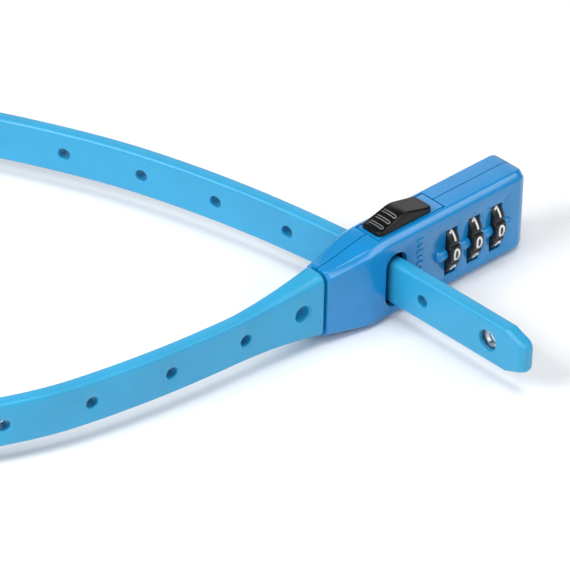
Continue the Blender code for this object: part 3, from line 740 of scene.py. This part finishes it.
def make_slider():
    """The thumb slider: sides that lean in, a rounded top edge, and a crowned top."""
    base = HEAD_HEIGHT + SLIDER_LIFT
    steps, columns = 44, 26

    def outline(x):
        """Half the width in plan at x, with rounded corners."""
        into = max(abs(x - SLIDER_MIDDLE_X) - (SLIDER_HALF_LENGTH - SLIDER_CORNER), 0.0)
        return SLIDER_HALF_WIDTH - SLIDER_CORNER + math.sqrt(max(SLIDER_CORNER**2 - into**2, 0.0))

    turns = [math.sin(math.pi * (step / steps - 0.5)) for step in range(steps + 1)]
    shares = [math.sin(math.pi * (column / columns - 0.5)) for column in range(columns + 1)]
    evens = [2 * step / steps - 1 for step in range(steps + 1)]
    middle, half_length = SLIDER_MIDDLE_X, SLIDER_HALF_LENGTH
    xs = [middle + half_length * (0.5 * turn + 0.5 * even) for turn, even in zip(turns, evens)]
    edge = SLIDER_EDGE

    def draw(bm):
        rings = []
        for x in xs:
            width = max(outline(x), 0.05)
            ends = min(x - SLIDER_LOW.x, SLIDER_HIGH.x - x)
            ring = []
            for share in shares:
                y = share * width
                margin = min(width - abs(y), ends)
                fall = edge - math.sqrt(max(edge**2 - max(edge - margin, 0.0) ** 2, 0.0))
                lowered = slider_top(x, y) - fall
                leaning = y * (1 - SLIDER_LEAN * lowered / SLIDER_HALF_WIDTH)
                ring.append((x, leaning, HEAD_HEIGHT + lowered))
            ring += [(x, width, base), (x, -width, base)]
            rings.append(ring)
        add_loft(bm, rings)

    slider = new_mesh("thumb_slider", [draw])
    combine(slider, [draw_box(*SLIDER_SOCKET)])
    finish_piece(slider, BLACK, "release_group", ["release_slider"], sharp=45)


def make_ribs():
    """Three raised grip ribs on the slider's ramp, each a narrow loop that is open at its far end."""

    def surface(x, y):
        return (x, y, HEAD_HEIGHT + slider_top(x, y) + RIB_LIFT)

    def draw(bm):
        for x in RIB_XS:
            path = [(x + RIB_HALF_GAP, RIB_START_Y - RIB_STEP * step) for step in range(RIB_STEPS)]
            for turn in np.linspace(*RIB_BEND_TURNS, RIB_BEND_STEPS):
                bend_x = x + RIB_HALF_GAP * math.cos(turn)
                path.append((bend_x, RIB_BEND_Y - RIB_HALF_GAP * math.sin(turn)))
            path += [(x - RIB_HALF_GAP, RIB_RETURN_Y + RIB_STEP * step) for step in range(RIB_STEPS)]
            points = [Vector(surface(*place)) for place in path]
            rings = []
            for index, point in enumerate(points):
                before, after = points[max(index - 1, 0)], points[min(index + 1, len(points) - 1)]
                along = (after - before).normalized()
                side = along.cross(Vector((0, 0, 1))).normalized()
                up = side.cross(along)
                size = RIB_RADIUS * (0.5 if index in (0, len(points) - 1) else 1.0)
                ring = []
                for corner in range(RIB_SIDES):
                    angle = 2 * math.pi * corner / RIB_SIDES
                    ring.append(point + side * size * math.cos(angle) + up * size * math.sin(angle))
                rings.append(ring)
            add_loft(bm, rings)

    # The ribs' light grey is painted highlight
    finish_piece(new_mesh("slider_ribs", [draw]), RIB_PLASTIC_PAINTED_HIGHLIGHT, "release_group", sharp=60)


# Number wheels


DIGIT_COUNT, DIGIT_TURN, STEPS_PER_DIGIT = 10, 36.0, 20
TILE_HALF_TURN, NOTCH_HALF_TURN = math.radians(14.2), math.radians(16.6)
TILE_DOME, NOTCH_DEPTH = 0.12, 0.42
WHEEL_EDGE = ((0.0, 0.34), (0.04, 0.2), (0.13, 0.08), (0.3, 0.0))
WHEEL_BORE_RADIUS, KEYWAY_HALF_WIDTH, KEYWAY_HEIGHT, CUTTER_REACH_X = 3.75, 0.65, 4.35, 3
DIGIT_SIZE, DIGIT_BOLDNESS, PAINT_LIFT, PAINT_DEPTH = 3.75, 0.075, 0.015, 0.06
STRIP_REACH, STRIP_CUTS, MERGE_DISTANCE = 1.3, 14, 0.0005


def wheel_reach(turn):
    """The wheel's radius at a turn from a tile's middle: a slightly domed tile, with a notch each side."""
    turn = abs(turn)
    if turn < TILE_HALF_TURN:
        return WHEEL_RADIUS - TILE_DOME * (turn / TILE_HALF_TURN) ** 2
    fall = smoothstep((turn - TILE_HALF_TURN) / (NOTCH_HALF_TURN - TILE_HALF_TURN))
    return WHEEL_RADIUS - TILE_DOME - NOTCH_DEPTH * fall


def draw_wheel(x):
    edge = [(step - WHEEL_HALF_WIDTH, inset) for step, inset in WHEEL_EDGE]
    sections = edge + [(-dx, inset) for dx, inset in reversed(edge)]

    def draw(bm):
        rings = []
        for dx, inset in sections:
            ring = []
            for digit in range(DIGIT_COUNT):
                for step in range(STEPS_PER_DIGIT):
                    turn = math.radians(DIGIT_TURN * (step / STEPS_PER_DIGIT - 0.5))
                    angle = math.pi + math.radians(DIGIT_TURN * digit) + turn
                    reach = wheel_reach(turn) - inset
                    ring.append((x + dx, reach * math.cos(angle), AXIS_Z + reach * math.sin(angle)))
            rings.append(ring)
        add_loft(bm, rings)

    return draw


ONE_OUTLINE = (
    (0.42, -1.33),
    (0.42, 1.33),
    (0.06, 1.33),
    (-0.2, 1.06),
    (-0.6, 0.88),
    (-0.6, 0.5),
    (-0.3, 0.6),
    (-0.06, 0.74),
    (-0.06, -1.33),
)


def font_digit(digit):
    """A digit of the built-in font as a flat mesh in millimetres, round its own middle."""
    curve = bpy.data.curves.new(f"digit_{digit}", "FONT")
    curve.body = str(digit)
    curve.align_x = "CENTER"
    curve.size = DIGIT_SIZE
    curve.offset = DIGIT_BOLDNESS
    text = bpy.data.objects.new(f"digit_{digit}", curve)
    bpy.context.scene.collection.objects.link(text)
    bpy.context.view_layer.update()
    graph = bpy.context.evaluated_depsgraph_get()
    mesh = bpy.data.meshes.new_from_object(text.evaluated_get(graph))
    bpy.data.objects.remove(text, do_unlink=True)
    bm = bmesh.new()
    bm.from_mesh(mesh)
    bpy.data.meshes.remove(mesh)
    bmesh.ops.remove_doubles(bm, verts=bm.verts, dist=MERGE_DISTANCE)
    low = min(vert.co.y for vert in bm.verts)
    high = max(vert.co.y for vert in bm.verts)
    left = min(vert.co.x for vert in bm.verts)
    right = max(vert.co.x for vert in bm.verts)
    bmesh.ops.translate(bm, verts=bm.verts, vec=(-(left + right) / 2, -(low + high) / 2, 0))
    return bm


def digit_one():
    """A plain 1 with a short flag, drawn heavier than the font's own."""
    bm = bmesh.new()
    bm.faces.new([bm.verts.new((x, y, 0.0)) for x, y in ONE_OUTLINE])
    bm.normal_update()
    bmesh.ops.triangulate(bm, faces=bm.faces)
    return bm


def digit_mesh(digit):
    """A flat digit cut into narrow strips, so that it can bend round the wheel."""
    bm = digit_one() if digit == 1 else font_digit(digit)
    for height in np.linspace(-STRIP_REACH, STRIP_REACH, STRIP_CUTS):
        geometry = bm.verts[:] + bm.edges[:] + bm.faces[:]
        bmesh.ops.bisect_plane(bm, geom=geometry, plane_co=(0, height, 0), plane_no=(0, 1, 0))
    return bm


def make_numerals(name, x, digits):
    """All the digits bent round the wheel at x and given a thickness that reaches into it."""
    numerals = bmesh.new()
    for digit, source in enumerate(digits):
        flat = bpy.data.meshes.new("flat")
        source.to_mesh(flat)
        start = len(numerals.verts)
        numerals.from_mesh(flat)
        bpy.data.meshes.remove(flat)
        numerals.verts.ensure_lookup_table()
        for vert in numerals.verts[start:]:
            turn = vert.co.y / WHEEL_RADIUS
            angle = math.pi - math.radians(DIGIT_TURN * digit) - turn
            reach = wheel_reach(turn) + PAINT_LIFT
            vert.co = (x + vert.co.x, reach * math.cos(angle), AXIS_Z + reach * math.sin(angle))
    faces = numerals.faces[:]
    bmesh.ops.recalc_face_normals(numerals, faces=faces)
    grown = bmesh.ops.extrude_face_region(numerals, geom=faces)
    for vert in [item for item in grown["geom"] if isinstance(item, bmesh.types.BMVert)]:
        radial = Vector((0, vert.co.y, vert.co.z - AXIS_Z)).normalized()
        vert.co -= radial * PAINT_DEPTH
    bmesh.ops.recalc_face_normals(numerals, faces=numerals.faces)
    bmesh.ops.scale(numerals, verts=numerals.verts, vec=(MM, MM, MM))
    mesh = bpy.data.meshes.new(name)
    numerals.to_mesh(mesh)
    numerals.free()
    painted = bpy.data.objects.new(name, mesh)
    bpy.context.scene.collection.objects.link(painted)
    return painted


def make_wheels():
    digits = [digit_mesh(digit) for digit in range(DIGIT_COUNT)]
    for number, x in enumerate(WHEEL_XS, 1):
        body, node = f"wheel_{number}", f"number_wheel_{number}"
        wheel = new_mesh(f"dial_{number}", [draw_wheel(x)])
        low_x, high_x = x - CUTTER_REACH_X, x + CUTTER_REACH_X
        keyway_low = (low_x, -KEYWAY_HALF_WIDTH, AXIS_Z)
        keyway_high = (high_x, KEYWAY_HALF_WIDTH, AXIS_Z + KEYWAY_HEIGHT)
        combine(wheel, [along_x(low_x, high_x, WHEEL_BORE_RADIUS, 48), draw_box(keyway_low, keyway_high)])
        finish_piece(wheel, WHEEL, body, [node], sharp=40)
        finish_piece(make_numerals(f"dial_digits_{number}", x, digits), PAINT, body)
    for flat_digit in digits:
        flat_digit.free()


# Strap


def spline_through(points):
    """A function of a knot's number that follows a natural cubic spline through the points."""
    values = np.array(points, float)
    count = len(values)
    system = np.eye(count)
    bend = np.zeros_like(values)
    for row in range(1, count - 1):
        system[row, row - 1 : row + 2] = (1, 4, 1)
        bend[row] = 6 * (values[row - 1] - 2 * values[row] + values[row + 1])
    second = np.linalg.solve(system, bend)

    def at(knot):
        low = min(int(knot), count - 2)
        t = knot - low
        a, b = values[low], values[low + 1]
        curve = ((1 - t) ** 3 - (1 - t)) * second[low] + (t**3 - t) * second[low + 1]
        return a * (1 - t) + b * t + curve / 6

    return at


class StrapCourse:
    """The strap's middle line, measured by length from the seam."""

    FINENESS = 40

    def __init__(self):
        at = spline_through(STRAP_ROUTE)
        count = (len(STRAP_ROUTE) - 1) * self.FINENESS
        self.points = np.array([at(index / self.FINENESS) for index in range(count + 1)])
        steps = np.linalg.norm(np.diff(self.points, axis=0), axis=1)
        self.lengths = np.concatenate([[0.0], np.cumsum(steps)])
        self.total = self.lengths[-1]

    def point(self, length):
        return np.array([np.interp(length, self.lengths, self.points[:, axis]) for axis in (0, 1)])

    def place(self, length):
        """The point at a length and the strap's direction there, straight on before the seam."""
        if length < 0:
            start, direction = self.place(0.0)
            return start + direction * length, direction
        before, after = (self.point(min(max(length + step, 0.0), self.total)) for step in (-0.5, 0.5))
        direction = after - before
        return self.point(length), direction / np.linalg.norm(direction)

    def ring(self, length, outline):
        point, direction = self.place(length)
        across = np.array([direction[1], -direction[0]])
        return [(*(point + across * a), AXIS_Z + b) for a, b in outline]

    def hole_lengths(self):
        last = self.total - TIP_HOLE_MARGIN
        count = int((last - FIRST_HOLE) / HOLE_PITCH + 0.5)
        return [last - HOLE_PITCH * number for number in range(count, 0, -1)]


def flare_at(length, power):
    return max(1 - length / FLARE_REACH, 0.0) ** power


def strap_sides(length):
    """How far the strap reaches to the front, the back, up and down at a length."""
    upper, lower = flare_at(length, UPPER_POWER), flare_at(length, LOWER_POWER)
    half_width, half_thickness = STRAP_WIDTH / 2, STRAP_THICKNESS / 2
    front = half_thickness + lower * (FLARE_FRONT - half_thickness)
    back = half_thickness + upper * (FLARE_BACK - half_thickness)
    up = half_width + upper * (FLARE_TOP_Z - AXIS_Z - half_width)
    down = half_width + lower * (AXIS_Z - FLARE_BOTTOM_Z - half_width)
    return front, back, up, down


def strap_outline(course, length, inset=0.0):
    front, back, up, down = strap_sides(length)
    drop = TIP_DROP * max(length - (course.total - TIP_TAPER), 0.0) / TIP_TAPER
    up, down = up - drop, down - drop
    thin = TIP_THINNING * smoothstep((length - course.total + TIP_THIN_REACH) / TIP_THIN_REACH)
    front, back = front - thin - inset, back - thin - inset
    up, down = up - inset, down - inset
    widest = (front + back) / 2 - EDGE_MARGIN
    edge = min(STRAP_EDGE + FLARE_EDGE * flare_at(length, UPPER_POWER), widest)
    outline = rounded_rectangle((front + back) / 2, (up + down) / 2, edge, 7)
    return [(a + (back - front) / 2, b + (up - down) / 2) for a, b in outline]


def strap_rings(course):
    rim = list(STRAP_RIM)
    flare_end = FLARE_REACH + FLARE_OVERRUN
    flare = [(length, 0.0) for length in np.linspace(FLARE_START, flare_end, FLARE_RINGS)]
    loop_end = course.total - TIP_TAPER
    loop = [(length, 0.0) for length in np.linspace(flare_end, loop_end - 0.3, LOOP_RINGS)[1:]]
    tip = [(loop_end + step, 0.0) for step in TIP_STEPS]
    end = [(course.total - step, inset) for step, inset in STRAP_END]
    stations = rim + flare + loop + tip + end
    return [course.ring(length, strap_outline(course, length, inset)) for length, inset in stations]


def draw_hole(course, length, radius, z=AXIS_Z, rim=HOLE_MOUTH, sides=40):
    """A cutter for a hole through the strap whose mouths are rounded off."""
    point, direction = course.place(length)
    across = np.array([direction[1], -direction[0]])
    front, back, _, _ = strap_sides(length)
    start = Vector((*(point - across * HOLE_CUTTER_REACH), z))
    end = Vector((*(point + across * HOLE_CUTTER_REACH), z))
    near, far = HOLE_CUTTER_REACH - front, HOLE_CUTTER_REACH + back
    profile = [(near + rim * depth, radius + rim * grow) for depth, grow in STRAP_MOUTH]
    profile += [(far - rim * depth, radius + rim * grow) for depth, grow in reversed(STRAP_MOUTH)]
    return lambda bm: add_lathe(bm, start, end, profile, sides)


def draw_lining(course, length, z, radius):
    """Plastic that passes through the core round a hole, so that the hole's wall hides the core."""
    point, direction = course.place(length)
    across = np.array([direction[1], -direction[0]]) * (CORE_THICKNESS / 2 + CORE_GAP + LINING_REACH)
    return draw_rod((*(point - across), z), (*(point + across), z), radius, 40)


def core_slot(course):
    a, b = CORE_THICKNESS / 2 + CORE_GAP, CORE_WIDTH / 2 + CORE_GAP
    outline = [(a, b), (-a, b), (-a, -b), (a, -b)]
    start = STRAP_ROUTE[0][0] - SPIGOT_END_X - 1
    end = course.total - CORE_TIP_MARGIN + CORE_GAP
    lengths = [start] + list(np.linspace(0.0, course.total - TIP_TAPER, CORE_RINGS)) + [end]
    return lambda bm: add_loft(bm, [course.ring(length, outline) for length in lengths])


def make_strap():
    """The strap's plastic body: the loop, the spigot in the head, and a root that fills the seam."""
    course = StrapCourse()
    jacket = new_mesh("strap_sleeve", [lambda bm: add_loft(bm, strap_rings(course))])
    spigot = rounded_rectangle(STRAP_THICKNESS / 2, SPIGOT_WIDTH / 2, STRAP_EDGE, 4)
    spigot_start = STRAP_ROUTE[0][0] - SPIGOT_END_X
    root = strap_outline(course, 0.0, ROOT_INSET)
    spigot_rings = [course.ring(length, spigot) for length in (spigot_start, SPIGOT_OVERLAP)]
    root_rings = [course.ring(length, root) for length in (ROOT_START, ROOT_END)]
    added = [lambda bm: add_loft(bm, spigot_rings), lambda bm: add_loft(bm, root_rings)]
    combine(jacket, added, "UNION")
    combine(jacket, [core_slot(course)])
    linings = [(length, AXIS_Z, HOLE_RADIUS + HOLE_LINING) for length in course.hole_lengths()]
    linings.append((MOULD_HOLE, MOULD_HOLE_Z, MOULD_HOLE_RADIUS + MOULD_LINING))
    combine(jacket, [draw_lining(course, *lining) for lining in linings], "UNION")
    cuts = [draw_hole(course, length, HOLE_RADIUS) for length in course.hole_lengths()]
    cuts.append(draw_hole(course, course.total - TIP_HOLE_MARGIN, TIP_HOLE_RADIUS, rim=WIDE_HOLE_MOUTH))
    cuts.append(draw_hole(course, MOULD_HOLE, MOULD_HOLE_RADIUS, MOULD_HOLE_Z, rim=WIDE_HOLE_MOUTH))
    reach, radius = ANCHOR_CUTTER_REACH, ANCHOR_RADIUS + ANCHOR_HOLE_GAP
    for x in ANCHOR_XS:
        cuts.append(draw_rod((x, -reach, AXIS_Z), (x, reach, AXIS_Z), radius, 16))
    combine(jacket, cuts)
    finish_piece(jacket, STRAP, "head_and_strap", ["strap_jacket"], sharp=35)


# Return spring


def make_return_spring():
    """A smooth coil of wire in the place of the packed return spring."""
    low, high = box_mm("return_spring")
    wire, turns, steps_per_turn, sides = 0.175, 3.5, 36, 8
    radius = (high.y - low.y) / 2 - wire
    count = int(turns * steps_per_turn)
    path = []
    for index in range(count + 1):
        angle = 2 * math.pi * index / steps_per_turn
        x = low.x + wire + (high.x - low.x - 2 * wire) * index / count
        path.append(Vector((x, radius * math.cos(angle), AXIS_Z + radius * math.sin(angle))))

    def draw(bm):
        rings = []
        for index, point in enumerate(path):
            along = (path[min(index + 1, count)] - path[max(index - 1, 0)]).normalized()
            outward = Vector((0, point.y, point.z - AXIS_Z)).normalized()
            side = along.cross(outward).normalized()
            ring = []
            for corner in range(sides):
                turn = 2 * math.pi * corner / sides
                ring.append(point + (outward * math.cos(turn) + side * math.sin(turn)) * wire)
            rings.append(ring)
        add_loft(bm, rings)

    coil = finish_piece(
        new_mesh("return_coil", [draw]), SPRING, "head_and_strap", ["return_spring"], sharp=60
    )
    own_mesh(coil)


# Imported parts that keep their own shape


def dress_packed_parts():
    finishes = {
        "strap_guide": BLACK,
        "strap_core": STEEL,
        "anchor_pin_1": STEEL,
        "anchor_pin_2": STEEL,
        "latch_bolt": STEEL,
        "locking_spindle": STEEL,
        "slider_link": ZINC,
        "spindle_clip": SPRING,
    }
    for number in (1, 2, 3):
        finishes[f"code_sleeve_{number}"] = ZINC
        finishes[f"detent_spring_{number}"] = SPRING
    for name, material in finishes.items():
        node = frame["nodes"][name]
        node.data.materials.clear()
        node.data.materials.append(material)


# Studio

FLOOR_REACH, FLOOR_DEPTH, FLOOR_CLOUD = 6000, 3.0, 400.0
FLOOR_DARK, FLOOR_PALE = (0.9, 0.9, 0.9), (0.93, 0.93, 0.93)
SUN_SPREAD = 34
LIGHT_TARGET = (-30, 10, 10)
CAMERA_AZIMUTH, CAMERA_ELEVATION, CAMERA_ROLL = -44.066, 34.750, 1.388
CAMERA_PLACE, CAMERA_LENS, CAMERA_SENSOR = (-562.79, -544.19, 542.48), 297.85, 36.0


def make_floor():
    low, high = (-FLOOR_REACH, -FLOOR_REACH, -FLOOR_DEPTH), (FLOOR_REACH, FLOOR_REACH, 0.0)
    floor = new_mesh("studio_floor", [draw_box(low, high)])
    nodes = Nodes("studio_floor")
    stops = ((NOISE_LOW, FLOOR_DARK), (NOISE_HIGH, FLOOR_PALE))
    cloud = nodes.ramp(nodes.noise(FLOOR_CLOUD, 2.0), stops)
    nodes.join(cloud, nodes.shader.inputs["Base Color"])
    nodes.fix(Roughness=0.9)
    floor.data.materials.append(nodes.material)


def add_light(name, place_mm, size_mm, power):
    light = bpy.data.lights.new(name, "AREA")
    light.shape = "RECTANGLE"
    light.size, light.size_y = (size * MM for size in size_mm)
    light.energy = power
    lamp = bpy.data.objects.new(name, light)
    lamp.location = Vector(place_mm) * MM
    aim = Vector(LIGHT_TARGET) - Vector(place_mm)
    lamp.rotation_euler = aim.to_track_quat("-Z", "Y").to_euler()
    bpy.context.scene.collection.objects.link(lamp)


def add_sun(name, direction, strength):
    """A soft, even light over the whole floor, as from a wide softbox far away. It shines from direction."""
    light = bpy.data.lights.new(name, "SUN")
    light.angle = math.radians(SUN_SPREAD)
    light.energy = strength
    lamp = bpy.data.objects.new(name, light)
    lamp.location = Vector(direction) * MM
    lamp.rotation_euler = (-Vector(direction)).to_track_quat("-Z", "Y").to_euler()
    bpy.context.scene.collection.objects.link(lamp)


def make_lights():
    add_sun("camera_side", (-760, -740, 690), 0.6)
    add_sun("top", (-50, -200, 1300), 1.3)
    add_light("inside_loop", (-380, 90, 330), (260, 200), 1.6)
    add_light("far_right", (900, 830, 560), (1000, 700), 2.0)
    add_light("near_right", (400, -630, 660), (760, 240), 2.3)
    world = bpy.data.worlds.new("studio")
    world.use_nodes = True
    background = world.node_tree.nodes["Background"]
    background.inputs["Color"].default_value = (0.92, 0.95, 1.0, 1.0)
    background.inputs["Strength"].default_value = 0.18
    bpy.context.scene.world = world
    bpy.context.scene.view_settings.view_transform = "Standard"


def make_camera():
    azimuth, elevation = math.radians(CAMERA_AZIMUTH), math.radians(CAMERA_ELEVATION)
    roll = math.radians(CAMERA_ROLL)
    flat = math.cos(elevation)
    back = Vector((math.sin(azimuth) * flat, -math.cos(azimuth) * flat, math.sin(elevation)))
    right = (-back).cross(Vector((0, 0, 1))).normalized()
    up = right.cross(-back)
    across = right * math.cos(roll) + up * math.sin(roll)
    upward = up * math.cos(roll) - right * math.sin(roll)
    turn = Matrix((across, upward, back)).transposed()
    data = bpy.data.cameras.new("camera")
    data.lens, data.sensor_width = CAMERA_LENS, CAMERA_SENSOR
    data.clip_start, data.clip_end = 0.05, 20.0
    camera = bpy.data.objects.new("camera", data)
    camera.matrix_world = Matrix.Translation(Vector(CAMERA_PLACE) * MM) @ turn.to_4x4()
    bpy.context.scene.collection.objects.link(camera)
    bpy.context.scene.camera = camera


make_casing()
make_index_bar()
make_marks()
make_track()
make_slider()
make_ribs()
make_wheels()
make_strap()
make_return_spring()
dress_packed_parts()
make_floor()
make_lights()
make_camera()
